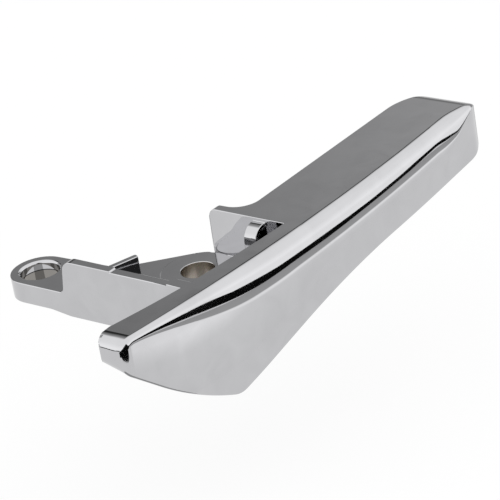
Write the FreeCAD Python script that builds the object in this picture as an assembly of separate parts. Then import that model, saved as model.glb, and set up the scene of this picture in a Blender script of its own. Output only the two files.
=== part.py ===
import FreeCAD, Part
import math
import os

# Interior door handle: one chrome-plated zinc casting, in millimetres.
# The origin is on the pivot axis, halfway through the pivot eye, and +Z points along that axis.
# +X runs along the grip from its pointed end to its broad end, and -Y faces the person who pulls it.

# Pivot eye and arm
eye_radius = 7.25
eye_thickness = 5.3
bore_radius = 4.75
bore_mouth_chamfer = 0.45
arm_height = 14.0
arm_splay = 0.8
rib_thickness = 2.4
rib_start = 15.1
rib_nose_radius = 3.2
rib_foot_radius = 1.5
rib_draft = 1.2
rib_lean = 0.4
rib_step_at = 30.4
rib_step = 0.3
arm_belly_start = 9.0
arm_belly_run = 6.0
arm_belly = 0.8
arm_belly_radius = 8.0

# Fin on the inner side of the rib
fin_root = 29.6
fin_reach = 6.5
fin_slant = 2.3
fin_thickness = 1.5
fin_edge_radius = 0.15
fin_back_radius = 0.5

# Web with the boss of the link hole
web_drop = 12.0
web_thickness = 2.7
web_arm_start = 7.1
boss_to_wall = 9.2
boss_y = -33.6
boss_radius = 10.0
boss_ring_radius = 9.1
boss_rise = 0.3
boss_depth = 6.0
collar_radius = 7.2
link_hole_radius = 4.2
web_edge_angle = 46.0

# Flat top of the grip, seen from above
near_end = -33.3
grip_length = 138.8
bow_centre = 36.0
bow_radius = 625.0
bow_front = -59.1
strip_near_x = -28.3
strip_near_y = -48.5
strip_mid_x = -3.0
strip_mid_y = -53.6
strip_far_y = -54.9
strip_bow_radius = 290.0
near_back_drop = 0.4
near_back_radius = 0.8
near_corner_radius = 2.2
grip_back_y = -41.2
grip_back_splay = 1.4
far_back_radius = 15.0
far_front_radius = 7.0

# Front edge of the grip: a tight turn, then a slow one into the upright face
front_turn = 75.0
near_fillet = 1.3
near_blend = 2.5
main_fillet = 3.5
main_blend = 22.0
far_fillet = 3.0
far_blend = 14.0
fillet_growth = 55.0
grip_steps = 16
corner_steps = 6
corner_sweep = 76.0

# Underside of the grip, seen from the front
near_nose_radius = 3.3
near_end_depth = 8.2
near_bottom_radius = 3.5
near_underside_slant = 0.27
near_rise_x = -15.6
near_rise_depth = 22.9
near_rise_radius = 78.0
keel_x = -2.8
keel_depth = 28.3
keel_radius = 5.0
slope_x = 34.1
slope_depth = 16.7
slope_radius = 190.0
far_depth = 13.4
far_bottom_radius = 5.5
far_top_radius = 7.8

# Back of the grip: blade behind the keel and hollow for the fingers
blade_back_y = -58.5
plate_thickness = 3.0
wing_thickness = 3.6
recess_radius = 3.5
end_wall = 5.5
end_wall_lean = 9.0

# Wall, tab, hood and pocket between the grip and the web
wall_x = 28.0
wall_thickness = 2.3
wall_end_y = -31.9
wall_end_draft = 1.0
wall_depth = 15.2
tab_tip_radius = 0.9
tab_splay = 0.3
tab_fillet = 5.5
hood_reach = 4.4
hood_back_y = -45.4
hood_front_y = -49.0
hood_skin = 1.0
hood_drop = 0.9
hood_radius = 3.6
pocket_reach = 6.0
pocket_front_y = -53.6

# Tongue of the flat top over the end of the rib
tongue_width = 3.2
tongue_end_y = -46.6
tongue_slant = 1.0
tongue_corner_radius = 0.4

# Places that follow from the values above
eye_bottom_z = -eye_thickness / 2.0
eye_top_z = eye_thickness / 2.0
top_z = eye_bottom_z + arm_height
web_top_z = top_z - web_drop
web_bottom_z = web_top_z - web_thickness
boss_x = wall_x - boss_to_wall
far_end = near_end + grip_length
recess_near_x = wall_x + pocket_reach + wall_thickness
recess_far_x = far_end - end_wall

# Overlap of pieces that run into each other, and reach of the shapes that cut or trim
bite = 0.5
clear = 5.0
deep = 60.0
snug = 1e-6


def vec(x, y, z=0.0):
    return FreeCAD.Vector(x, y, z)


def line(a, b):
    return Part.LineSegment(a, b).toShape()


def arc(a, middle, b):
    return Part.Arc(a, middle, b).toShape()


def prism(edges, direction):
    face = Part.Face(Part.Wire(Part.__sortEdges__(edges)))
    return face.extrude(direction)


def rounded_loop(corners):
    # closed outline of (point, radius) corners, each turned by a tangent arc
    count = len(corners)
    reaches = []
    for i in range(count):
        point, radius = corners[i]
        to_before = corners[i - 1][0] - point
        to_after = corners[(i + 1) % count][0] - point
        reaches.append(radius / math.tan(to_before.getAngle(to_after) / 2.0))
    for i in range(count):
        # two turns that would run into each other share the straight between them
        after = (i + 1) % count
        run = (corners[after][0] - corners[i][0]).Length
        wanted = reaches[i] + reaches[after]
        if wanted > run:
            reaches[i] *= run / wanted
            reaches[after] *= run / wanted
    edges = []
    starts = []
    ends = []
    for i in range(count):
        point = corners[i][0]
        to_before = (corners[i - 1][0] - point).normalize()
        to_after = (corners[(i + 1) % count][0] - point).normalize()
        half = to_before.getAngle(to_after) / 2.0
        start = point + to_before * reaches[i]
        end = point + to_after * reaches[i]
        if reaches[i] > 0.0:
            to_middle = reaches[i] * (1.0 - math.sin(half)) / math.cos(half)
            edges.append(arc(start, point + (to_before + to_after).normalize() * to_middle, end))
        starts.append(start)
        ends.append(end)
    for i in range(count):
        after = (i + 1) % count
        if (starts[after] - ends[i]).Length > snug:
            edges.append(line(ends[i], starts[after]))
    return edges


def sharp_loop(points):
    return rounded_loop([(point, 0.0) for point in points])


def front_line(x):
    # where the flat top of the grip starts to turn down, seen from above
    return bow_front + (x - bow_centre) ** 2 / (2.0 * bow_radius)


def ease(share):
    share = min(max(share, 0.0), 1.0)
    return share * share * (3.0 - 2.0 * share)


def turn_radii(x):
    # tight and slow radius of the front edge, growing away from the pointed end
    share = ease((x - near_end) / fillet_growth)
    fillet = near_fillet + (main_fillet - near_fillet) * share
    blend = near_blend + (main_blend - near_blend) * share
    return fillet, blend


def face_setback(fillet, blend):
    # how far the upright face stands in front of the flat top's front line
    turn = math.radians(front_turn)
    return fillet * math.sin(turn) + blend * (1.0 - math.sin(turn))


def near_face_y():
    return front_line(near_end) - face_setback(near_fillet, near_blend)


def on_turn(x, centre_y, centre_z, radius, degrees):
    # point of a turn that starts level on top and ends upright in front
    angle = math.radians(degrees)
    return vec(x, centre_y - radius * math.sin(angle), centre_z + radius * math.cos(angle))


def grip_section(x, fillet, blend, inset=0.0):
    # section across the grip: flat top, tight turn, slow turn, upright face
    y = front_line(x) + inset
    a = vec(x, y, top_z)
    ab = on_turn(x, y, top_z - fillet, fillet, front_turn / 2.0)
    b = on_turn(x, y, top_z - fillet, fillet, front_turn)
    angle = math.radians(front_turn)
    slow_y = b.y + blend * math.sin(angle)
    slow_z = b.z - blend * math.cos(angle)
    bc = on_turn(x, slow_y, slow_z, blend, (front_turn + 90.0) / 2.0)
    c = on_turn(x, slow_y, slow_z, blend, 90.0)
    d = vec(x, c.y, top_z - deep)
    e = vec(x, wall_end_y + clear, top_z - deep)
    f = vec(x, wall_end_y + clear, top_z)
    return Part.Wire([line(f, a), arc(a, ab, b), arc(b, bc, c), line(c, d), line(d, e), line(e, f)])


def grip_bar():
    # sections at even steps along the grip, then closer ones round the broad end
    start = near_end - clear
    corner_start = far_end - far_front_radius + bite
    step = (corner_start - start) / grip_steps
    sections = []
    for i in range(grip_steps + 1):
        x = start + i * step
        fillet, blend = turn_radii(x)
        sections.append(grip_section(x, fillet, blend))
    for i in range(1, corner_steps + 1):
        share = i / corner_steps
        angle = math.radians(share * corner_sweep)
        x = corner_start + far_front_radius * math.sin(angle)
        inset = far_front_radius * (1.0 - math.cos(angle))
        fillet = main_fillet + (far_fillet - main_fillet) * share
        blend = main_blend + (far_blend - main_blend) * share
        sections.append(grip_section(x, fillet, blend, inset))
    return Part.makeLoft(sections, True, False)


def plan_outline():
    # top view of grip, strip and tab, past the front, which the bar gives
    z = top_z - deep
    past_y = bow_front - far_blend
    tab_base_y = wall_end_y + wall_end_draft
    corners = [(vec(strip_near_x, strip_near_y, z), 0.0),
               (vec(strip_mid_x, strip_mid_y, z), strip_bow_radius),
               (vec(wall_x, strip_far_y, z), 0.0),
               (vec(wall_x, tab_base_y, z), tab_tip_radius),
               (vec(wall_x + wall_thickness, tab_base_y, z), tab_tip_radius),
               (vec(wall_x + wall_thickness + tab_splay, grip_back_y, z), tab_fillet),
               (vec(far_end, grip_back_y + grip_back_splay, z), far_back_radius),
               (vec(far_end, past_y, z), 0.0),
               (vec(near_end + deep, past_y, z), 0.0),
               (vec(near_end, near_face_y(), z), near_corner_radius),
               (vec(near_end, strip_near_y - near_back_drop, z), near_back_radius)]
    return prism(rounded_loop(corners), vec(0, 0, deep + clear))


def side_outline():
    # front view of the grip: rounded ends, keel and long rising underside
    y = bow_front - far_blend
    corners = [(vec(near_end, y, top_z), near_nose_radius),
               (vec(far_end, y, top_z), far_top_radius),
               (vec(far_end, y, top_z - far_depth), far_bottom_radius),
               (vec(slope_x, y, top_z - slope_depth), slope_radius),
               (vec(keel_x, y, top_z - keel_depth), keel_radius),
               (vec(near_rise_x, y, top_z - near_rise_depth), near_rise_radius),
               (vec(near_end, y, top_z - near_end_depth), 0.0)]
    return prism(rounded_loop(corners), vec(0, deep, 0))


def near_underside():
    # space above the pointed end's underside, which climbs from the front face to the back
    y = near_face_y()
    fall = (near_rise_depth - near_end_depth) / (near_rise_x - near_end)
    low_x = near_end + (deep - near_end_depth) / fall
    corners = [(vec(near_end, y, top_z + clear), 0.0), (vec(far_end + clear, y, top_z + clear), 0.0),
               (vec(far_end + clear, y, top_z - deep), 0.0), (vec(low_x, y, top_z - deep), 0.0),
               (vec(near_end, y, top_z - near_end_depth), near_bottom_radius)]
    run = vec(0, 1, near_underside_slant)
    edges = [edge.translated(run * -deep) for edge in rounded_loop(corners)]
    return prism(edges, run * (2.0 * deep))


def wing_relief():
    # takes the back of the grip away below the wall, so that the keel is a blade
    x = near_end - clear
    z = top_z - wall_depth
    foot_z = top_z - keel_depth - clear
    points = [vec(x, wall_end_y + clear, z), vec(x, strip_mid_y, z), vec(x, blade_back_y, foot_z),
              vec(x, wall_end_y + clear, foot_z)]
    return prism(sharp_loop(points), vec(far_end - near_end + 2.0 * clear, 0, 0))


def finger_recess():
    # hollow behind the broad half of the grip, open to the back and below
    z = top_z - plate_thickness
    middle_x = (recess_near_x + recess_far_x) / 2.0
    inner = wing_thickness - face_setback(main_fillet, main_blend)
    behind_y = wall_end_y + clear
    a = vec(recess_near_x, front_line(recess_near_x) + inner, z)
    m = vec(middle_x, front_line(middle_x) + inner, z)
    b = vec(recess_far_x, front_line(recess_far_x) + inner, z)
    back_far = vec(recess_far_x - end_wall_lean, behind_y, z)
    back_near = vec(recess_near_x, behind_y, z)
    edges = [arc(a, m, b), line(b, back_far), line(back_far, back_near), line(back_near, a)]
    tool = prism(edges, vec(0, 0, -deep))
    rims = []
    for edge in tool.Edges:
        centre = edge.CenterOfMass
        if abs(centre.z - z) < snug and centre.y < behind_y - snug:
            rims.append(edge)
    return tool.makeFillet(recess_radius, rims)


def tab_end_draft():
    # leans the free end of the wall, so that it is shorter at the top than at the web
    x = wall_x - clear
    base_y = wall_end_y + wall_end_draft
    points = [vec(x, wall_end_y, top_z), vec(x, base_y, web_top_z), vec(x, base_y + clear, web_top_z),
              vec(x, base_y + clear, top_z + clear), vec(x, wall_end_y, top_z + clear)]
    return prism(sharp_loop(points), vec(wall_thickness + 2.0 * clear, 0, 0))


def grip():
    shape = grip_bar().common(plan_outline()).common(side_outline()).common(near_underside())
    return shape.cut(Part.makeCompound([wing_relief(), finger_recess(), tab_end_draft()]))


def rib():
    # upright plate along the near side of the arm, which runs into the grip
    x = -eye_radius
    end_y = front_line(x) + bite
    belly_z = eye_bottom_z - arm_belly
    corners = [(vec(x, -arm_belly_start, eye_bottom_z), arm_belly_radius),
               (vec(x, -arm_belly_start - arm_belly_run, belly_z), arm_belly_radius),
               (vec(x, end_y, belly_z), 0.0),
               (vec(x, end_y, top_z - rib_step), 0.0),
               (vec(x, -rib_step_at, top_z - rib_step), 0.0),
               (vec(x, -rib_step_at, top_z), 0.0),
               (vec(x, -rib_start - rib_lean, top_z), rib_nose_radius),
               (vec(x, -rib_start + rib_draft, eye_top_z), rib_foot_radius),
               (vec(x, 0.0, eye_top_z), 0.0),
               (vec(x, 0.0, eye_bottom_z), 0.0)]
    return prism(rounded_loop(corners), vec(rib_thickness, 0, 0))


def eye():
    # rounded end of the arm, which widens a little on its way to the web
    r = eye_radius
    wide = r + arm_splay
    end_y = -rib_start - bite
    z = eye_bottom_z
    edges = [arc(vec(-r, 0, z), vec(0, r, z), vec(r, 0, z)), line(vec(r, 0, z), vec(wide, end_y, z)),
             line(vec(wide, end_y, z), vec(-r, end_y, z)), line(vec(-r, end_y, z), vec(-r, 0, z))]
    return prism(edges, vec(0, 0, eye_thickness))


def bore():
    # pivot bore with a broken edge at its upper mouth
    mouth = Part.makeCone(bore_radius, bore_radius + bore_mouth_chamfer, bore_mouth_chamfer,
                          vec(0, 0, eye_top_z - bore_mouth_chamfer))
    return Part.makeCylinder(bore_radius, eye_thickness, vec(0, 0, eye_bottom_z)).fuse(mouth)


def web():
    # flat plate between arm, grip and wall, round the boss on its outer side
    z = web_bottom_z
    angle = math.radians(web_edge_angle)
    touch = vec(boss_x + boss_radius * math.sin(angle), boss_y + boss_radius * math.cos(angle), z)
    arm_side = vec(eye_radius, touch.y + (touch.x - eye_radius) * math.tan(angle), z)
    points = [arm_side, touch, vec(boss_x, boss_y, z), vec(wall_x + bite, boss_y, z),
              vec(wall_x + bite, front_line(wall_x) + bite, z),
              vec(-eye_radius, front_line(-eye_radius) + bite, z), vec(-eye_radius, -rib_start, z),
              vec(eye_radius, -web_arm_start, z)]
    plate = prism(sharp_loop(points), vec(0, 0, web_thickness))
    return plate.fuse(Part.makeCylinder(boss_radius, web_thickness, vec(boss_x, boss_y, z)))


def boss():
    # raised face round the link hole, and its collar under the web
    face = Part.makeCylinder(boss_ring_radius, web_thickness + boss_rise, vec(boss_x, boss_y, web_bottom_z))
    collar_z = web_top_z + boss_rise - boss_depth
    collar = Part.makeCylinder(collar_radius, boss_depth, vec(boss_x, boss_y, collar_z))
    return face.fuse(collar)


def beyond_wall():
    # space past the middle of the wall, where the round of the boss must not come through
    return Part.makeBox(deep, deep, deep, vec(wall_x + wall_thickness / 2.0, boss_y - deep / 2.0, -deep / 2.0))


def link_hole():
    return Part.makeCylinder(link_hole_radius, deep, vec(boss_x, boss_y, -deep / 2.0))


def fin():
    # thin upright plate that stands on the web beside the rib
    z = web_top_z - bite
    inner_x = -eye_radius + rib_thickness
    root = vec(inner_x - bite, -fin_root, z)
    tip = vec(inner_x + fin_reach, -fin_root - fin_slant, z)
    along = (tip - root).normalize()
    across = vec(-along.y, along.x) * fin_thickness
    corners = [(root, 0.0), (tip, fin_edge_radius), (tip + across, fin_back_radius), (root + across, 0.0)]
    return prism(rounded_loop(corners), vec(0, 0, web_drop + bite))


def hood_outline(inset, far_x, y, low_z):
    # front view of the half-round hood, or of the hollow a skin's thickness inside it
    x = wall_x - hood_reach + inset
    z = top_z - hood_drop - inset
    return rounded_loop([(vec(far_x, y, z), 0.0), (vec(x, y, z), hood_radius - inset),
                         (vec(x, y, low_z), 0.0), (vec(far_x, y, low_z), 0.0)])


def hood():
    # stands out of the wall's near face, above the web
    edges = hood_outline(0.0, wall_x + bite, hood_back_y, web_top_z - bite)
    return prism(edges, vec(0, hood_front_y - hood_back_y, 0))


def pocket():
    # hollow under the hood and the flat top, as far as the grip's thin part
    y = hood_back_y - hood_skin
    edges = hood_outline(hood_skin, wall_x + pocket_reach, y, web_top_z + boss_rise)
    return prism(edges, vec(0, pocket_front_y - y, 0))


def tongue():
    # rounded tongue that carries the grip's flat top over the end of the rib
    x = -eye_radius
    z = top_z - rib_step - bite
    root_y = front_line(x) + bite
    corners = [(vec(x, root_y, z), 0.0), (vec(x + tongue_width, root_y, z), 0.0),
               (vec(x + tongue_width, tongue_end_y, z), tongue_width / 2.0),
               (vec(x, tongue_end_y - tongue_slant, z), tongue_corner_radius)]
    return prism(rounded_loop(corners), vec(0, 0, rib_step + bite))


def handle_lever():
    plate = web().fuse(boss()).cut(beyond_wall())
    shape = grip().fuse([rib(), eye(), plate, fin(), hood(), tongue()])
    shape = shape.cut(Part.makeCompound([bore(), link_hole(), pocket()]))
    return shape.removeSplitter()


if __name__ == "__main__":
    os.makedirs("parts", exist_ok=True)
    shape = handle_lever()
    print("valid", shape.isValid(), "solids", len(shape.Solids), "volume", round(shape.Volume))
    print(shape.optimalBoundingBox())
    shape.exportStep("parts/handle_lever.step")
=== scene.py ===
import bpy
import math
from mathutils import Matrix, Vector


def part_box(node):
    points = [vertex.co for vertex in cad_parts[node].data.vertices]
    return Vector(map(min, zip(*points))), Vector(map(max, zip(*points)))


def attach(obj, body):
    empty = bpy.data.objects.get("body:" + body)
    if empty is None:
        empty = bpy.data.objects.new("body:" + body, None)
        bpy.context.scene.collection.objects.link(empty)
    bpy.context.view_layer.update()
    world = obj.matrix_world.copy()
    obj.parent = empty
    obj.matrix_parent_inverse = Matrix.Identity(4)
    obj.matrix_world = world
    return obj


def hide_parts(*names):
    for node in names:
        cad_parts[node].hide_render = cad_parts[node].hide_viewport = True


# Interior door handle lever, chrome plating on die-cast zinc. Everything is in metres.
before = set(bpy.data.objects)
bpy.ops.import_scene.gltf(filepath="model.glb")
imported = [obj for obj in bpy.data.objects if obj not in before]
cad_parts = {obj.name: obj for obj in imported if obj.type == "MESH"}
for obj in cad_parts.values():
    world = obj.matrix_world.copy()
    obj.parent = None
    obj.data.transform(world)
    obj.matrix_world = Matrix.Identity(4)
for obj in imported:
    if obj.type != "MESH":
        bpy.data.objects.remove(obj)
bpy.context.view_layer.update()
mm = 0.001
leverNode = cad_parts["handle_lever"]
leverLow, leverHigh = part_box("handle_lever")
topZ = leverHigh.z


def sRGB(code):
    # hex code to the linear colour that the shaders want
    channels = [int(code[i:i + 2], 16) / 255.0 for i in (1, 3, 5)]
    linear = [c / 12.92 if c <= 0.04045 else ((c + 0.055) / 1.055) ** 2.4 for c in channels]
    return (*linear, 1.0)


def addNode(tree, kind, settings=None, inputs=None, links=None):
    # one node, its own settings, the values on its sockets and what is plugged into them
    node = tree.nodes.new(kind)
    for name, value in (settings or {}).items():
        setattr(node, name, value)
    for socket, value in (inputs or {}).items():
        node.inputs[socket].default_value = value
    for socket, source in (links or {}).items():
        tree.links.new(source, node.inputs[socket])
    return node


def newMaterial(name):
    material = bpy.data.materials.new(name)
    material.use_nodes = True
    material.node_tree.nodes.clear()
    return material


# camera at the photograph's angle, seen over the pointed end of the grip
view = {"azimuth": -47.57, "elevation": 25.67, "roll": 9.99, "distance": 652 * mm, "lens": 204.2,
        "target": Vector((13.8 * mm, -55.8 * mm, 11.35 * mm))}


def makeCamera():
    azimuth = math.radians(view["azimuth"])
    elevation = math.radians(view["elevation"])
    roll = math.radians(view["roll"])
    forward = Vector((-math.sin(azimuth) * math.cos(elevation), math.cos(azimuth) * math.cos(elevation),
                      -math.sin(elevation)))
    level = Vector((math.cos(azimuth), math.sin(azimuth), 0.0))
    upright = level.cross(forward)
    right = level * math.cos(roll) - upright * math.sin(roll)
    up = level * math.sin(roll) + upright * math.cos(roll)
    place = view["target"] - forward * view["distance"]
    bpy.ops.object.camera_add(location=place)
    camera = bpy.context.object
    camera.name = "photoCamera"
    camera.data.lens = view["lens"]
    camera.data.clip_start = 10 * mm
    turn = Matrix((right, up, -forward)).transposed().to_4x4()
    camera.matrix_world = Matrix.Translation(place) @ turn
    bpy.context.scene.camera = camera
    print("camera", [round(c, 4) for c in place])


makeCamera()


# chrome plating: a hard mirror with a faint unevenness of the cast metal under it
chrome = {"colour": "#c5c5c7", "dull": "#bfbfc1", "roughness": (0.02, 0.05),
          "haze": 7 * mm, "hazeRough": (0.35, 0.7), "hazeDull": (0.3, 0.75), "hazeBend": 0.6,
          "ripple": 15 * mm, "rippleStrength": 0.08, "rippleDepth": 0.1 * mm,
          "peel": 1.6 * mm, "peelStrength": 0.035, "peelDepth": 0.009 * mm,
          "dent": 12 * mm, "dentDepth": 0.35 * mm, "lean": (-0.24, -0.01),
          "wallFacing": 0.97, "wallReach": 0.3 * mm,
          # the link bore's brownish grey is painted shade of the bore's inside
          "link": (18.8 * mm, -33.6 * mm), "linkRadius": 4.22 * mm, "linkShadeColour": "#aea69c",
          "linkRoughness": 0.3, "grain": 0.35 * mm, "grainShare": 0.35,
          # in the eye's bore, the grey below the groove's height and the groove's dark line are painted shade
          "eyeRadius": 4.9 * mm, "lowerBoreShade": "#8f8c88",
          "grooveZ": 0.35 * mm, "grooveHalf": 0.13 * mm, "grooveShadeColour": "#3c3c3e"}


def noiseNode(tree, place, size, detail, bend=0.0):
    # noise whose patches have a real size
    return addNode(tree, "ShaderNodeTexNoise",
                   inputs={"Scale": 1.0 / size, "Detail": detail, "Distortion": bend},
                   links={"Vector": place})


def mathNode(tree, operation, inputs, links):
    return addNode(tree, "ShaderNodeMath", {"operation": operation}, inputs, links)


def vectorNode(tree, operation, inputs, links):
    return addNode(tree, "ShaderNodeVectorMath", {"operation": operation}, inputs, links)


def colourMix(tree, inputs, links, blend="MIX"):
    return addNode(tree, "ShaderNodeMix", {"data_type": "RGBA", "blend_type": blend}, inputs, links)


def wallNormal(tree, place, split):
    # the wall behind the grip is the least even face: its place along X and its facing pick it out
    here = place.outputs["Object"]
    dent = noiseNode(tree, here, chrome["dent"], 1.0)
    leaning = vectorNode(tree, "DOT_PRODUCT", {1: (0.0, *chrome["lean"])}, {0: here})
    height = mathNode(tree, "MULTIPLY_ADD", {1: chrome["dentDepth"]},
                      {0: dent.outputs["Fac"], 2: leaning.outputs["Value"]})
    uneven = addNode(tree, "ShaderNodeBump", inputs={"Strength": 1.0, "Distance": 1.0},
                     links={"Height": height.outputs[0]})
    facing = vectorNode(tree, "DOT_PRODUCT", {1: (-1.0, 0.0, 0.0)}, {0: place.outputs["Normal"]})
    sideways = mathNode(tree, "GREATER_THAN", {1: chrome["wallFacing"]}, {0: facing.outputs["Value"]})
    beside = mathNode(tree, "COMPARE", {1: hollow["wallX"] * mm, 2: chrome["wallReach"]},
                      {0: split.outputs["X"]})
    onWall = mathNode(tree, "MULTIPLY", {}, {0: sideways.outputs[0], 1: beside.outputs[0]})
    surface = addNode(tree, "ShaderNodeNewGeometry")
    return addNode(tree, "ShaderNodeMix", {"data_type": "VECTOR"},
                   links={0: onWall.outputs[0], 4: surface.outputs["Normal"], 5: uneven.outputs["Normal"]})


def chromePlating():
    material = newMaterial("chrome plating on die-cast zinc")
    tree = material.node_tree
    place = addNode(tree, "ShaderNodeTexCoord")
    here = place.outputs["Object"]
    split = addNode(tree, "ShaderNodeSeparateXYZ", links={0: here})
    # slow waves of the polished casting, then the fine peel of the plating
    cast = wallNormal(tree, place, split)
    ripple = noiseNode(tree, here, chrome["ripple"], 2.0)
    waves = addNode(tree, "ShaderNodeBump",
                    inputs={"Strength": chrome["rippleStrength"], "Distance": chrome["rippleDepth"]},
                    links={"Height": ripple.outputs["Fac"], "Normal": cast.outputs[1]})
    peel = noiseNode(tree, here, chrome["peel"], 1.0)
    skin = addNode(tree, "ShaderNodeBump",
                   inputs={"Strength": chrome["peelStrength"], "Distance": chrome["peelDepth"]},
                   links={"Height": peel.outputs["Fac"], "Normal": waves.outputs["Normal"]})
    # a faint haze of handling, seen as patches a little duller than the rest
    haze = noiseNode(tree, here, chrome["haze"], 4.0, chrome["hazeBend"])
    patchy = addNode(tree, "ShaderNodeMapRange",
                     inputs={"From Min": chrome["hazeRough"][0], "From Max": chrome["hazeRough"][1],
                             "To Min": chrome["roughness"][0], "To Max": chrome["roughness"][1]},
                     links={0: haze.outputs["Fac"]})
    shade = addNode(tree, "ShaderNodeMapRange",
                    inputs={"From Min": chrome["hazeDull"][0], "From Max": chrome["hazeDull"][1]},
                    links={0: haze.outputs["Fac"]})
    plated = colourMix(tree, {6: sRGB(chrome["colour"]), 7: sRGB(chrome["dull"])}, {0: shade.outputs[0]})
    # the link bore keeps the satin of the mould; its darker, brownish grey is painted shade of the bore's
    # inside, with a little grain
    flatPlace = vectorNode(tree, "MULTIPLY", {1: (1.0, 1.0, 0.0)}, {0: here})
    away = vectorNode(tree, "DISTANCE", {1: (*chrome["link"], 0.0)}, {0: flatPlace.outputs["Vector"]})
    inLink = mathNode(tree, "LESS_THAN", {1: chrome["linkRadius"]}, {0: away.outputs["Value"]})
    grain = noiseNode(tree, here, chrome["grain"], 3.0)
    grainyLinkShade = colourMix(tree, {0: chrome["grainShare"], 6: sRGB(chrome["linkShadeColour"])},
                         {7: grain.outputs["Color"]}, "MULTIPLY")
    roughness = addNode(tree, "ShaderNodeMix", inputs={3: chrome["linkRoughness"]},
                        links={0: inLink.outputs[0], 2: patchy.outputs[0]})
    colour = colourMix(tree, {}, {0: inLink.outputs[0], 6: plated.outputs[2], 7: grainyLinkShade.outputs[2]})
    # the eye's bore is turned after casting: a thin dark ring painted as the shade of a fine groove, and
    # painted shade on the wall below it
    fromAxis = vectorNode(tree, "LENGTH", {}, {0: flatPlace.outputs["Vector"]})
    inEye = mathNode(tree, "LESS_THAN", {1: chrome["eyeRadius"]}, {0: fromAxis.outputs["Value"]})
    below = mathNode(tree, "LESS_THAN", {1: chrome["grooveZ"]}, {0: split.outputs["Z"]})
    level = mathNode(tree, "COMPARE", {1: chrome["grooveZ"], 2: chrome["grooveHalf"]},
                     {0: split.outputs["Z"]})
    lowerWallShade = mathNode(tree, "MULTIPLY", {}, {0: inEye.outputs[0], 1: below.outputs[0]})
    groove = mathNode(tree, "MULTIPLY", {}, {0: inEye.outputs[0], 1: level.outputs[0]})
    turned = colourMix(tree, {7: sRGB(chrome["lowerBoreShade"])}, {0: lowerWallShade.outputs[0], 6: colour.outputs[2]})
    grooveShaded = colourMix(tree, {7: sRGB(chrome["grooveShadeColour"])}, {0: groove.outputs[0], 6: turned.outputs[2]})
    shader = addNode(tree, "ShaderNodeBsdfPrincipled", inputs={"Metallic": 1.0},
                     links={"Base Color": grooveShaded.outputs[2], "Roughness": roughness.outputs[0],
                            "Normal": skin.outputs["Normal"]})
    addNode(tree, "ShaderNodeOutputMaterial", links={"Surface": shader.outputs["BSDF"]})
    return material


# small tools for shaping pieces: in the grip's and the hollow's dictionaries lengths are in millimetres,
# and heights are counted from the flat top
def pickOnly(piece):
    bpy.ops.object.select_all(action="DESELECT")
    piece.select_set(True)
    bpy.context.view_layer.objects.active = piece


def inset(distance, radius):
    # how far a round of this radius has turned down at a distance from its end
    if distance >= radius:
        return 0.0
    return radius - math.sqrt(max(radius ** 2 - (radius - max(distance, 0.0)) ** 2, 0.0))


def roundedOutline(corners, slack=0.01):
    # closed outline of (point, radius) corners, each turned by a tangent arc
    outline = []
    for i, (corner, radius) in enumerate(corners):
        here = Vector(corner)
        toBefore = (Vector(corners[i - 1][0]) - here).normalized()
        toAfter = (Vector(corners[(i + 1) % len(corners)][0]) - here).normalized()
        if radius == 0.0:
            outline.append(here)
            continue
        half = toBefore.angle(toAfter) / 2.0
        centre = here + (toBefore + toAfter).normalized() * radius / math.sin(half)
        start = here + toBefore * radius / math.tan(half) - centre
        turn = math.pi - 2.0 * half
        count = max(2, math.ceil(turn / (2.0 * math.acos(1.0 - slack / radius))))
        side = 1.0 if toBefore.cross(toAfter) < 0.0 else -1.0
        for step in range(count + 1):
            angle = side * turn * step / count
            turned = (start.x * math.cos(angle) - start.y * math.sin(angle),
                      start.x * math.sin(angle) + start.y * math.cos(angle))
            outline.append(centre + Vector(turned))
    return outline


def outlinePrism(outline, axis, low, high):
    # an outline pushed through the casting along one axis, as a tool that cuts
    others = [i for i in range(3) if i != axis]
    bpy.ops.object.select_all(action="DESELECT")
    bpy.ops.mesh.primitive_circle_add(vertices=len(outline), fill_type="NGON")
    tool = bpy.context.object
    for vertex, point in zip(tool.data.vertices, outline):
        vertex.co[axis] = low * mm
        vertex.co[others[0]] = point[0] * mm
        vertex.co[others[1]] = point[1] * mm
    step = [0.0, 0.0, 0.0]
    step[axis] = (high - low) * mm
    bpy.ops.object.mode_set(mode="EDIT")
    bpy.ops.mesh.select_all(action="SELECT")
    bpy.ops.mesh.extrude_region_move(TRANSFORM_OT_translate={"value": step})
    bpy.ops.mesh.select_all(action="SELECT")
    bpy.ops.mesh.normals_make_consistent(inside=False)
    bpy.ops.object.mode_set(mode="OBJECT")
    return tool


def combine(piece, tool, operation):
    pickOnly(piece)
    step = piece.modifiers.new(operation.lower(), "BOOLEAN")
    step.operation = operation
    step.solver = "MANIFOLD"
    step.object = tool
    bpy.ops.object.modifier_apply(modifier=step.name)
    bpy.data.objects.remove(tool)


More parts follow.
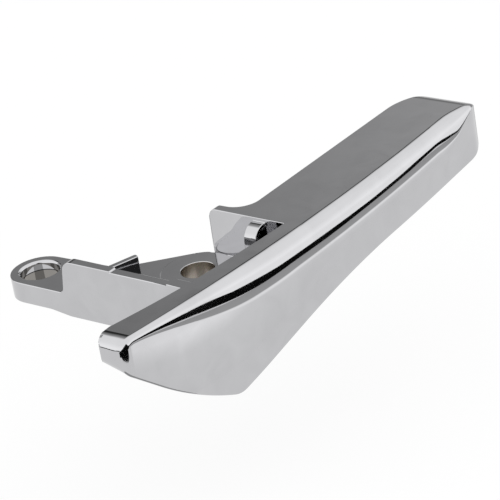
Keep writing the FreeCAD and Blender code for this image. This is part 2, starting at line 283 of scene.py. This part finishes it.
# grip: one bar of rings along X, then cut from behind as the casting's hollow side is
grip = {"bowCentre": 36.0, "bowRadius": 625.0, "bowFront": -59.1,
        "turn": 75.0, "nearFillet": 1.3, "nearBlend": 2.5, "fillet": 3.5, "blend": 22.0,
        "growth": 55.0, "blendGrowth": 40.0,
        "farFillet": 0.8, "farBlend": 3.0, "farTaper": 16.0, "farFlat": 0.85, "farGrowth": 24.0,
        "noseRadius": 3.4, "noseSlant": 0.06, "noseMiddle": -52.7, "noseLeast": 2.0,
        "nearCorner": 2.2, "nearBottom": 3.5, "undersideSlant": 0.27, "slantReach": 9.0, "nearFaceY": -56.6,
        "farCorner": 8.0, "farTop": 7.8, "farBottom": 10.0, "leastHeight": 0.4, "fullest": 0.97,
        "edge": 0.6, "edgeSteps": 5, "backY": -26.0,
        "topRows": (-40.0, -47.5, -49.5, -51.5, -53.0), "topGap": 0.15, "faceRows": (0.35, 0.7),
        "underRows": (-56.0, -48.0, -40.0), "underGap": 0.05,
        "keel": [((-33.3, -8.2), 0.0), ((-15.6, -22.9), 78.0), ((-2.8, -28.3), 5.0), ((34.1, -16.7), 190.0),
                 ((105.5, -13.4), 0.0)],
        "endSteps": 22, "endReach": 8.0, "stationStep": 0.8, "turnSteps": 16, "merge": 0.0005}


def lineAt(points, x):
    # height of a rounded run of straight lines at x
    for i in range(1, len(points) - 1):
        (x0, z0), (x1, z1), (x2, z2) = points[i - 1][0], points[i][0], points[i + 1][0]
        radius = points[i][1]
        before = math.atan2(z1 - z0, x1 - x0)
        after = math.atan2(z2 - z1, x2 - x1)
        side = 1.0 if after > before else -1.0
        reach = radius * math.tan(abs(after - before) / 2.0)
        start = x1 - reach * math.cos(before)
        end = x1 + reach * math.cos(after)
        if x < start:
            return z1 + (x - x1) * math.tan(before)
        if x <= end:
            startZ = z1 - reach * math.sin(before)
            centreX = start - side * radius * math.sin(before)
            centreZ = startZ + side * radius * math.cos(before)
            return centreZ - side * math.sqrt(radius ** 2 - (x - centreX) ** 2)
    (x0, z0), (x1, z1) = points[-2][0], points[-1][0]
    return z1 + (x - x1) * (z1 - z0) / (x1 - x0)


def frontLine(x):
    return grip["bowFront"] + (x - grip["bowCentre"]) ** 2 / (2.0 * grip["bowRadius"])


def smoothStep(share):
    share = min(max(share, 0.0), 1.0)
    return share * share * (3.0 - 2.0 * share)


def gripRing(x, nearEnd, farEnd):
    # ring of (y, z) round the grip: over the top, down the front, along the keel and up the back
    fromNear = x - nearEnd
    fromFar = farEnd - x
    turn = math.radians(grip["turn"])
    grown = smoothStep(fromNear / grip["growth"])
    spread = smoothStep(fromNear / grip["blendGrowth"])
    fillet = grip["nearFillet"] + (grip["fillet"] - grip["nearFillet"]) * grown
    blend = grip["nearBlend"] + (grip["blend"] - grip["nearBlend"]) * spread
    ending = 1.0 - smoothStep(fromFar / grip["farTaper"])
    lessFillet = (fillet - grip["farFillet"]) * ending
    lessBlend = (blend - grip["farBlend"]) * ending
    fillet -= lessFillet
    blend -= lessBlend
    frontY = frontLine(x) + inset(fromNear, grip["nearCorner"]) + inset(fromFar, grip["farCorner"])
    # the face keeps its place at the far end, so the top's edge runs out to it
    frontY -= lessFillet * math.sin(turn) + lessBlend * (1.0 - math.sin(turn))
    faceY = frontY - fillet * math.sin(turn) - blend * (1.0 - math.sin(turn))
    lowered = inset(fromFar, grip["farTop"])

    def topZ(y):
        nose = max(grip["noseRadius"] - grip["noseSlant"] * (y - grip["noseMiddle"]), grip["noseLeast"])
        return -inset(fromNear, nose) - lowered

    def underZ(y):
        # the pointed end's underside climbs towards the back, past its rounded corner
        endZ = grip["keel"][0][0][1]
        lowX, lowZ = grip["keel"][1][0]
        fall = (lowZ - endZ) / (lowX - nearEnd)
        lift = grip["undersideSlant"] * min(max(y - grip["nearFaceY"], 0.0), grip["slantReach"])
        radius = grip["nearBottom"]
        centreZ = endZ + radius * (math.hypot(1.0, fall) + fall)
        start = radius * (1.0 + fall / math.hypot(1.0, fall))
        if fromNear < start:
            low = centreZ - math.sqrt(radius ** 2 - (radius - fromNear) ** 2)
        else:
            low = endZ + fall * fromNear
        under = max(lineAt(grip["keel"], x), low + lift) + inset(fromFar, grip["farBottom"])
        return min(under, -lowered - grip["leastHeight"])

    # the round gets flatter towards the far end, and never deeper than the bar there
    edge = grip["edge"]
    height = topZ(frontY) - underZ(faceY)
    drop = fillet * (1.0 - math.cos(turn)) + blend * math.cos(turn)
    squeeze = min(1.0 - grip["farFlat"] * (1.0 - smoothStep(fromFar / grip["farGrowth"])),
                  grip["fullest"] * height / (drop + edge))
    ring = [(y, topZ(y)) for y in (grip["backY"], *grip["topRows"], frontY + grip["topGap"])]
    for step in range(grip["turnSteps"] + 1):
        angle = turn * step / grip["turnSteps"]
        ring.append((frontY - fillet * math.sin(angle),
                     topZ(frontY) - squeeze * fillet * (1.0 - math.cos(angle))))
    turnZ = ring[-1][1]
    for step in range(1, grip["turnSteps"] + 1):
        angle = turn + (math.pi / 2.0 - turn) * step / grip["turnSteps"]
        ring.append((faceY + blend * (1.0 - math.sin(angle)),
                     turnZ - squeeze * blend * (math.cos(turn) - math.cos(angle))))
    faceEnd = underZ(faceY) + squeeze * edge
    for share in grip["faceRows"]:
        ring.append((faceY, ring[-1][1] + share * (faceEnd - ring[-1][1])))
    for step in range(grip["edgeSteps"] + 1):
        angle = math.pi / 2.0 * step / grip["edgeSteps"]
        ring.append((faceY + edge * (1.0 - math.cos(angle)), faceEnd - squeeze * edge * math.sin(angle)))
    for y in (*grip["underRows"], grip["backY"]):
        inner = max(y, faceY + edge + grip["underGap"])
        ring.append((inner, underZ(inner)))
    return ring


def gripStations(nearEnd, farEnd):
    # close together round both ends, where the surface turns fastest
    reach = grip["endReach"]
    turns = [math.pi / 2.0 * step / grip["endSteps"] for step in range(grip["endSteps"])]
    near = [nearEnd + reach * (1.0 - math.cos(angle)) for angle in turns]
    far = [farEnd - reach * (1.0 - math.cos(angle)) for angle in reversed(turns)]
    count = round((farEnd - nearEnd - 2.0 * reach) / grip["stationStep"])
    middle = [nearEnd + reach + (farEnd - nearEnd - 2.0 * reach) * step / count for step in range(count + 1)]
    return near + middle + far


def makeBar():
    # a grid wrapped round the stations, closed along its seam and at both ends
    nearEnd, farEnd = leverLow.x / mm, leverHigh.x / mm
    stations = gripStations(nearEnd, farEnd)
    rings = [gripRing(x, nearEnd, farEnd) for x in stations]
    around = len(rings[0])
    bpy.ops.object.select_all(action="DESELECT")
    bpy.ops.mesh.primitive_grid_add(x_subdivisions=around, y_subdivisions=len(stations) - 1)
    bar = bpy.context.object
    bar.name = "leverCasting"
    for i, vertex in enumerate(bar.data.vertices):
        row, column = divmod(i, around + 1)
        y, z = rings[row][column % around]
        vertex.co = (stations[row] * mm, y * mm, topZ + z * mm)
    bpy.ops.object.mode_set(mode="EDIT")
    bpy.ops.mesh.select_all(action="SELECT")
    bpy.ops.mesh.remove_doubles(threshold=grip["merge"] * mm)
    bpy.ops.mesh.select_all(action="DESELECT")
    bpy.ops.mesh.select_non_manifold()
    bpy.ops.mesh.fill_holes(sides=0)
    bpy.ops.object.mode_set(mode="OBJECT")
    print("bar", len(bar.data.polygons), "faces")
    return bar


# hollow side: what lies behind the grip's flat top, with the tab, the finger hollow and the pocket
hollow = {"overlap": 0.05, "nearBack": 0.8, "nearRound": (0.23, 0.36), "nearSlant": 0.4,
          "stripNear": (-28.3, -48.5), "stripMiddle": (-3.0, -53.6), "stripBow": 290.0, "stripFar": -54.9,
          "wallX": 28.0, "wall": 2.3, "tabEnd": -31.9, "tabDraft": 1.0, "tabTip": 0.9, "tabRound": 2.4,
          "tabSplay": 0.3, "tabFillet": 5.5,
          "backY": -41.2, "backSplay": 1.4, "farBack": 15.0, "farDepth": 13.5,
          "webTop": -12.0, "wallBottom": -15.2, "bladeBack": -58.5, "bladeTopY": -53.6, "bladeFoot": -33.3,
          "recessTop": -3.0, "recessNear": 36.3, "recessFar": 100.0, "recessLean": 9.0, "recessInner": -0.53,
          "recessRound": 3.5, "recessSteps": 12, "roundSteps": 8, "sameHeight": 0.01, "sameBack": 1.0,
          "pocketX": 34.0, "pocketFront": -53.6, "pocketBack": -46.4, "pocketTop": -1.9, "pocketFloor": -11.7,
          "past": 9.0, "clearY": -12.0, "reliefY": -20.0,
          "tabPast": 4.0, "tabOver": 0.1, "wallPast": (3.0, 3.5)}


def backOutline(overlap):
    # plan of everything behind the grip, which starts a hair's breadth behind its back faces
    nearEnd, farEnd = leverLow.x / mm, leverHigh.x / mm
    nearBack, past = hollow["nearBack"], hollow["past"]
    tabY = hollow["tabEnd"] + hollow["tabDraft"]
    nearBackY = hollow["stripNear"][1] - hollow["nearSlant"] + overlap
    middleX, middleY = hollow["stripMiddle"]
    roundX, roundY = hollow["nearRound"]
    return [((nearEnd - past, nearBackY - nearBack), 0.0),
            ((nearEnd, nearBackY - nearBack), 0.0),
            ((nearEnd + roundX * nearBack, nearBackY - roundY * nearBack), 0.0),
            ((nearEnd + nearBack, nearBackY), 0.0),
            ((hollow["stripNear"][0], hollow["stripNear"][1] + overlap), 0.0),
            ((middleX, middleY + overlap), hollow["stripBow"]),
            ((hollow["wallX"] - overlap, hollow["stripFar"] + overlap), 0.0),
            ((hollow["wallX"] - overlap, tabY), hollow["tabTip"]),
            ((hollow["wallX"] + hollow["wall"], tabY), hollow["tabTip"]),
            ((hollow["wallX"] + hollow["wall"] + hollow["tabSplay"], hollow["backY"]), hollow["tabFillet"]),
            ((farEnd, hollow["backY"] + hollow["backSplay"]), hollow["farBack"]),
            ((farEnd, hollow["backY"] - hollow["farDepth"]), 0.0),
            ((farEnd + past, hollow["backY"] - hollow["farDepth"]), 0.0),
            ((farEnd + past, hollow["clearY"]), 0.0), ((nearEnd - past, hollow["clearY"]), 0.0)]


def fingerHollow():
    # the hollow behind the broad half, with its roof rounded into three of its walls
    corners = []
    for step in range(hollow["recessSteps"] + 1):
        x = hollow["recessNear"] + (hollow["recessFar"] - hollow["recessNear"]) * step / hollow["recessSteps"]
        corners.append((x, frontLine(x) + hollow["recessInner"]))
    corners.append((hollow["recessFar"] - hollow["recessLean"], grip["backY"]))
    corners.append((hollow["recessNear"], grip["backY"]))
    tool = outlinePrism([Vector(corner) for corner in corners], 2, leverLow.z / mm - hollow["past"],
                        topZ / mm + hollow["recessTop"])
    bpy.ops.object.mode_set(mode="EDIT")
    bpy.ops.mesh.select_mode(type="EDGE")
    bpy.ops.mesh.select_all(action="DESELECT")
    bpy.ops.object.mode_set(mode="OBJECT")
    roof = topZ + hollow["recessTop"] * mm
    for edge in tool.data.edges:
        ends = [tool.data.vertices[i].co for i in edge.vertices]
        level = all(abs(end.z - roof) < hollow["sameHeight"] * mm for end in ends)
        atBack = all(end.y > (grip["backY"] - hollow["sameBack"]) * mm for end in ends)
        edge.select = level and not atBack
    bpy.ops.object.mode_set(mode="EDIT")
    bpy.ops.mesh.bevel(offset=hollow["recessRound"] * mm, segments=hollow["roundSteps"])
    bpy.ops.object.mode_set(mode="OBJECT")
    return tool


def cutHollow(bar):
    top = topZ / mm
    past = hollow["past"]
    combine(bar, outlinePrism(roundedOutline(backOutline(hollow["overlap"])), 2, leverLow.z / mm - past,
                              top + past), "DIFFERENCE")
    upper, lower = top + hollow["wallBottom"], top + hollow["bladeFoot"]
    relief = [(hollow["reliefY"], upper), (hollow["bladeTopY"], upper), (hollow["bladeBack"], lower),
              (hollow["reliefY"], lower)]
    combine(bar, outlinePrism([Vector(point) for point in relief], 0, leverLow.x / mm - past,
                              leverHigh.x / mm + past), "DIFFERENCE")
    combine(bar, fingerHollow(), "DIFFERENCE")
    outsideY = hollow["tabEnd"] - hollow["tabPast"]
    draft = [((outsideY, top + hollow["tabOver"]), 0.0), ((hollow["tabEnd"], top), hollow["tabRound"]),
             ((hollow["tabEnd"] + hollow["tabDraft"], top + hollow["webTop"]), 0.0),
             ((hollow["reliefY"], top + hollow["webTop"]), 0.0), ((hollow["reliefY"], top + past), 0.0),
             ((outsideY, top + past), 0.0)]
    combine(bar, outlinePrism(roundedOutline(draft), 0, hollow["wallX"] - hollow["wallPast"][0],
                              hollow["wallX"] + hollow["wallPast"][1]), "DIFFERENCE")
    insideX = hollow["wallX"] - hollow["wallPast"][0]
    pocket = [(insideX, top + hollow["pocketFloor"]), (hollow["pocketX"], top + hollow["pocketFloor"]),
              (hollow["pocketX"], top + hollow["pocketTop"]), (insideX, top + hollow["pocketTop"])]
    combine(bar, outlinePrism([Vector(point) for point in pocket], 1, hollow["pocketFront"],
                              hollow["pocketBack"]), "DIFFERENCE")
    print("hollow side", len(bar.data.polygons), "faces")


# arm side: eye, rib, web, boss, fin and hood of the casting, trimmed where they meet the grip
armSide = {"merge": 0.002 * mm, "slant": 0.38, "gap": 0.02, "nearTurn": 1.0, "frontY": -80.0,
           "smoothAngle": 30.0, "flatAngle": 0.05,
           "edge": 0.15 * mm, "edgeSteps": 2, "edgesFrom": -30.5 * mm}


def makeArmSide():
    mesh = leverNode.data.copy()
    piece = bpy.data.objects.new("armSide", mesh)
    bpy.context.scene.collection.objects.link(piece)
    pickOnly(piece)
    bpy.ops.object.mode_set(mode="EDIT")
    bpy.ops.mesh.select_all(action="SELECT")
    bpy.ops.mesh.remove_doubles(threshold=armSide["merge"])
    bpy.ops.object.mode_set(mode="OBJECT")
    nearEnd, farEnd = leverLow.x / mm, leverHigh.x / mm
    past, gap = hollow["past"], armSide["gap"]
    stripX, stripY = hollow["stripNear"]
    middleX, middleY = hollow["stripMiddle"]
    front = [((nearEnd - past, stripY - armSide["slant"]), 0.0),
             ((nearEnd + armSide["nearTurn"], stripY - armSide["slant"]), 0.0),
             ((stripX, stripY + gap), 0.0), ((middleX, middleY + gap), hollow["stripBow"]),
             ((hollow["wallX"] - gap, hollow["stripFar"] + gap), 0.0),
             ((hollow["wallX"] - gap, hollow["clearY"]), 0.0), ((farEnd + past, hollow["clearY"]), 0.0),
             ((farEnd + past, armSide["frontY"]), 0.0), ((nearEnd - past, armSide["frontY"]), 0.0)]
    tool = outlinePrism(roundedOutline(front), 2, leverLow.z / mm - past, topZ / mm + past)
    combine(piece, tool, "DIFFERENCE")
    print("arm side", len(piece.data.polygons), "faces")
    return piece


def softenEdges(casting):
    # flat faces joined up, cast edges broken by a hair, and flats kept flat beside the rounds
    pickOnly(casting)
    bpy.ops.object.mode_set(mode="EDIT")
    bpy.ops.mesh.select_all(action="SELECT")
    bpy.ops.mesh.dissolve_limited(angle_limit=math.radians(armSide["flatAngle"]))
    bpy.ops.object.mode_set(mode="OBJECT")
    bpy.ops.object.shade_smooth_by_angle(angle=math.radians(armSide["smoothAngle"]))
    broken = casting.data.attributes.new("bevel_weight_edge", "FLOAT", "EDGE")
    for edge in casting.data.edges:
        x = min(casting.data.vertices[i].co.x for i in edge.vertices)
        broken.data[edge.index].value = 1.0 if edge.use_edge_sharp and x > armSide["edgesFrom"] else 0.0
    bevel = casting.modifiers.new("cast edges", "BEVEL")
    bevel.width = armSide["edge"]
    bevel.segments = armSide["edgeSteps"]
    bevel.limit_method = "WEIGHT"
    bevel.use_clamp_overlap = False
    bpy.ops.object.modifier_apply(modifier=bevel.name)
    for vertex in casting.data.vertices:
        vertex.co.z = min(vertex.co.z, topZ)  # a bevel tip by the rib stood proud of the flat top
    bpy.ops.object.shade_smooth_by_angle(angle=math.radians(armSide["smoothAngle"]))
    even = casting.modifiers.new("even", "WEIGHTED_NORMAL")
    even.keep_sharp = True
    even.weight = 100
    bpy.ops.object.modifier_apply(modifier=even.name)


def makeLever():
    casting = makeBar()
    cutHollow(casting)
    combine(casting, makeArmSide(), "UNION")
    softenEdges(casting)
    casting.data.materials.clear()
    casting.data.materials.append(chromePlating())
    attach(casting, "root")
    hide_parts("handle_lever")
    print("lever", len(casting.data.polygons), "faces")


makeLever()


# studio: pale table, white tent all round, dark backdrop low behind, dark cards that the chrome mirrors
studio = {"floorDrop": 28 * mm, "floorSize": 6.0, "floorColour": "#f4f4f4",
          "seenGlow": 1.0, "tableGlow": 0.93, "glowShare": 0.85, "full": 1.32}
tableZ = leverLow.z - studio["floorDrop"]


def bearing(degrees):
    # level direction, counted from straight behind the handle towards the camera's right
    turn = math.radians(view["azimuth"] - degrees)
    return Vector((-math.sin(turn), math.cos(turn), 0.0))


def rampNode(tree, steps, source):
    # grey ramp of (place, brightness) steps
    ramp = addNode(tree, "ShaderNodeValToRGB", links={0: source})
    while len(ramp.color_ramp.elements) < len(steps):
        ramp.color_ramp.elements.new(0.5)
    for element, (place, share) in zip(ramp.color_ramp.elements, steps):
        element.position = place
        element.color = (share, share, share, 1.0)
    return ramp


def makeFloor():
    bpy.ops.object.select_all(action="DESELECT")
    bpy.ops.mesh.primitive_plane_add(size=studio["floorSize"], location=(0, 0, tableZ))
    floor = bpy.context.object
    floor.name = "floor"
    material = newMaterial("pale studio floor")
    tree = material.node_tree
    path = addNode(tree, "ShaderNodeLightPath")
    seen = mathNode(tree, "MAXIMUM", {}, {0: path.outputs["Is Camera Ray"], 1: path.outputs["Is Glossy Ray"]})
    seen = mathNode(tree, "MAXIMUM", {}, {0: seen.outputs[0], 1: path.outputs["Is Transmission Ray"]})
    share = mathNode(tree, "MULTIPLY", {1: studio["glowShare"]}, {0: seen.outputs[0]})
    glowing = addNode(tree, "ShaderNodeMix", inputs={2: studio["tableGlow"], 3: studio["seenGlow"]},
                      links={0: path.outputs["Is Camera Ray"]})
    matt = addNode(tree, "ShaderNodeBsdfDiffuse", inputs={"Color": sRGB(studio["floorColour"])})
    glow = addNode(tree, "ShaderNodeEmission", links={"Strength": glowing.outputs[0]})
    mix = addNode(tree, "ShaderNodeMixShader",
                  links={0: share.outputs[0], 1: matt.outputs[0], 2: glow.outputs[0]})
    addNode(tree, "ShaderNodeOutputMaterial", links={"Surface": mix.outputs[0]})
    floor.data.materials.append(material)


# cards on the table beside the handle, lying flat: plan outlines in mm, seen in the chrome alone
cards = {"blackLying": [(0, -243), (72, -243), (93, -222), (115, -213), (150, -220), (178, -212), (236, -222),
                        (285, -232), (365, -262), (520, -320), (520, -378), (488, -362), (352, -298),
                        (292, -282), (254, -305), (215, -330), (206, -413), (330, -700), (0, -640)],
         "whiteLying": [(-40, -262), (3000, -262), (3000, -3000), (-40, -3000)], "white": 1.31,
         "greyLying": [(118, -20), (2000, -200), (2000, 2000), (0, 2000), (0, 130), (118, 60)], "grey": 0.64,
         "blackFoot": [(93, 0), (93, 15), (94, 30), (97, 42), (110, 54), (340, 59), (340, -59), (110, -54),
                       (97, -42), (94, -30), (93, -15)],
         # the grey disc stands for the table in the handle's shadow, where the eye's bore mirrors it: painted
         # shadow
         "tableShadowDisc": (-50 * mm, -68 * mm), "tableShadowRadius": 42 * mm, "dull": 0.42,
         "black": 0.004, "paleLift": 1 * mm, "shadedLift": 1.5 * mm, "blackLift": 2 * mm, "footLift": 3 * mm,
         "cornerY": -54 * mm, "roundSteps": 48,
         "turn": -6.0, "middle": (162 * mm, -176 * mm), "size": (330 * mm, 93 * mm),
         "shades": [(0.0, 0.47), (0.59, 0.50), (0.635, 1.18), (0.70, 1.30), (0.80, 1.0), (1.0, 0.93)],
         "fade": (0.0, 0.10),
         "strip": {"bearing": -95.0, "distance": 600 * mm, "width": 700 * mm, "top": 7 * mm}}

# black flag between table and lens, seen in the grip's pointed corner: half widths at shares of its height
flag = {"distance": 176 * mm, "halfWidth": 290 * mm, "tip": 172 * mm,
        "sides": [(1.0, 0.0), (0.62, 0.22), (0.36, 0.42), (0.15, 0.75), (0.0, 1.0)]}


def emissionSurface(name, strength):
    material = newMaterial(name)
    glow = addNode(material.node_tree, "ShaderNodeEmission", inputs={"Strength": strength})
    addNode(material.node_tree, "ShaderNodeOutputMaterial", links={"Surface": glow.outputs[0]})
    return material


def onlyMirrored(piece, name, material):
    piece.name = name
    piece.data.materials.append(material)
    piece.visible_camera = False
    piece.visible_diffuse = False
    piece.visible_shadow = False


def flatCard(name, points, material):
    bpy.ops.object.select_all(action="DESELECT")
    bpy.ops.mesh.primitive_circle_add(vertices=len(points), fill_type="NGON")
    card = bpy.context.object
    for vertex, point in zip(card.data.vertices, points):
        vertex.co = point
    onlyMirrored(card, name, material)


def lyingCard(name, outline, lift, material):
    flatCard(name, [(x * mm, y * mm, tableZ + lift) for x, y in outline], material)


def makeShadedCard():
    # brightness in bands across it, and fading into the table at its near end
    bpy.ops.object.select_all(action="DESELECT")
    bpy.ops.mesh.primitive_plane_add(size=1.0, location=(*cards["middle"], tableZ + cards["shadedLift"]),
                                     rotation=(0.0, 0.0, math.radians(cards["turn"])))
    shaded = bpy.context.object
    shaded.scale = (*cards["size"], 1.0)
    material = newMaterial("shaded card")
    tree = material.node_tree
    place = addNode(tree, "ShaderNodeTexCoord")
    split = addNode(tree, "ShaderNodeSeparateXYZ", links={0: place.outputs["Generated"]})
    ramp = rampNode(tree, cards["shades"], split.outputs["Y"])
    plain = studio["tableGlow"]
    fade = addNode(tree, "ShaderNodeMapRange", {"interpolation_type": "SMOOTHSTEP"},
                   {"From Min": cards["fade"][0], "From Max": cards["fade"][1]}, {0: split.outputs["X"]})
    faded = colourMix(tree, {6: (plain, plain, plain, 1.0)}, {0: fade.outputs[0], 7: ramp.outputs[0]})
    glow = addNode(tree, "ShaderNodeEmission", links={"Color": faded.outputs[2]})
    addNode(tree, "ShaderNodeOutputMaterial", links={"Surface": glow.outputs[0]})
    onlyMirrored(shaded, "shadedCard", material)


def makeStandingCards(black):
    # a low strip far to the left, and the flag in front of the pointed corner with its foot on the table
    corner = Vector((leverLow.x, cards["cornerY"], tableZ))
    strip = cards["strip"]
    way = bearing(strip["bearing"])
    across = Vector((way.y, -way.x, 0.0)) * strip["width"] / 2.0
    foot = corner + way * strip["distance"]
    rise = Vector((0.0, 0.0, strip["top"] - tableZ))
    flatCard("leftStrip", [foot - across, foot + across, foot + across + rise, foot - across + rise], black)
    corner.z += cards["footLift"]
    lying = [corner + bearing(180.0 + turn) * reach * mm for reach, turn in cards["blackFoot"]]
    flatCard("blackFoot", lying, black)
    way = bearing(180.0)
    across = Vector((way.y, -way.x, 0.0)) * flag["halfWidth"]
    foot = corner + way * flag["distance"]
    rise = Vector((0.0, 0.0, flag["tip"] - foot.z))
    sides = [foot + across * wide + rise * high for wide, high in flag["sides"]]
    sides += [foot - across * wide + rise * high for wide, high in reversed(flag["sides"][:-1])]
    flatCard("blackFlag", sides, black)


def makeCards():
    black = emissionSurface("black card", cards["black"])
    lyingCard("blackLying", cards["blackLying"], cards["blackLift"], black)
    white = emissionSurface("white card", cards["white"])
    lyingCard("whiteLying", cards["whiteLying"], cards["paleLift"], white)
    grey = emissionSurface("grey card", cards["grey"])
    lyingCard("greyLying", cards["greyLying"], cards["paleLift"], grey)
    makeShadedCard()
    makeStandingCards(black)
    # grey disc on the table, seen only in the chrome: painted shadow of the handle, where the eye's bore
    # mirrors the table
    place = (*cards["tableShadowDisc"], tableZ + cards["paleLift"])
    bpy.ops.object.select_all(action="DESELECT")
    bpy.ops.mesh.primitive_circle_add(vertices=cards["roundSteps"], radius=cards["tableShadowRadius"],
                                      fill_type="NGON", location=place)
    onlyMirrored(bpy.context.object, "tableShadowDisc", emissionSurface("painted table shadow card", cards["dull"]))
    print("cards placed, table at", round(tableZ / mm, 2), "mm")


# the room: brightness by height of the direction, in front and at the sides, and behind the handle
room = {"tent": [(0.0, 1.02), (0.06, 1.04), (0.19, 1.08), (0.31, 1.04), (0.43, 1.0), (0.53, 0.955),
                 (0.62, 0.94), (1.0, 0.92)],
        "behind": [(0.0, 0.40), (0.12, 0.06), (0.28, 0.05), (0.34, 0.24), (0.40, 0.22), (0.437, 0.20),
                   (0.446, 0.02), (0.535, 0.03), (0.60, 0.20), (0.69, 0.48), (0.80, 0.80), (0.90, 0.87),
                   (1.0, 0.90)],
        "farBehind": [(0.0, 0.40), (0.10, 0.36), (0.22, 0.20), (0.33, 0.28), (0.40, 0.44), (0.437, 0.48),
                      (0.446, 0.02), (0.49, 0.04), (0.53, 0.48), (0.60, 0.80), (0.69, 0.88), (1.0, 0.92)],
        "edges": (0.42, 0.62), "farShare": (-0.05, 0.20), "slope": 0.39}


def makeWorld():
    world = bpy.data.worlds.new("studio room")
    bpy.context.scene.world = world
    world.use_nodes = True
    tree = world.node_tree
    tree.nodes.clear()
    place = addNode(tree, "ShaderNodeTexCoord")
    way = place.outputs["Generated"]
    split = addNode(tree, "ShaderNodeSeparateXYZ", links={0: way})
    behind = vectorNode(tree, "DOT_PRODUCT", {1: bearing(0.0)}, {0: way})
    right = vectorNode(tree, "DOT_PRODUCT", {1: bearing(90.0)}, {0: way})
    tent = rampNode(tree, room["tent"], split.outputs[2])
    # the dark backdrop leans with the camera's roll, and is paler towards the right
    tilted = mathNode(tree, "MULTIPLY_ADD", {1: room["slope"]},
                      {0: right.outputs["Value"], 2: split.outputs[2]})
    near = rampNode(tree, room["behind"], tilted.outputs[0])
    far = rampNode(tree, room["farBehind"], tilted.outputs[0])
    past = addNode(tree, "ShaderNodeMapRange",
                   inputs={"From Min": room["farShare"][0], "From Max": room["farShare"][1]},
                   links={0: right.outputs["Value"]})
    dark = colourMix(tree, {}, {0: past.outputs[0], 6: near.outputs[0], 7: far.outputs[0]})
    side = addNode(tree, "ShaderNodeMapRange", {"interpolation_type": "SMOOTHSTEP"},
                   {"From Min": room["edges"][0], "From Max": room["edges"][1]}, {0: behind.outputs["Value"]})
    mix = colourMix(tree, {}, {0: side.outputs[0], 6: tent.outputs[0], 7: dark.outputs[2]})
    mirrored = addNode(tree, "ShaderNodeBackground", inputs={"Strength": studio["full"]},
                       links={0: mix.outputs[2]})
    white = addNode(tree, "ShaderNodeBackground", inputs={"Strength": studio["seenGlow"]})
    path = addNode(tree, "ShaderNodeLightPath")
    choice = addNode(tree, "ShaderNodeMixShader", links={0: path.outputs["Is Camera Ray"],
                                                         1: mirrored.outputs[0], 2: white.outputs[0]})
    addNode(tree, "ShaderNodeOutputWorld", links={0: choice.outputs[0]})


makeFloor()
makeCards()
makeWorld()
bpy.context.scene.view_settings.view_transform = "Standard"
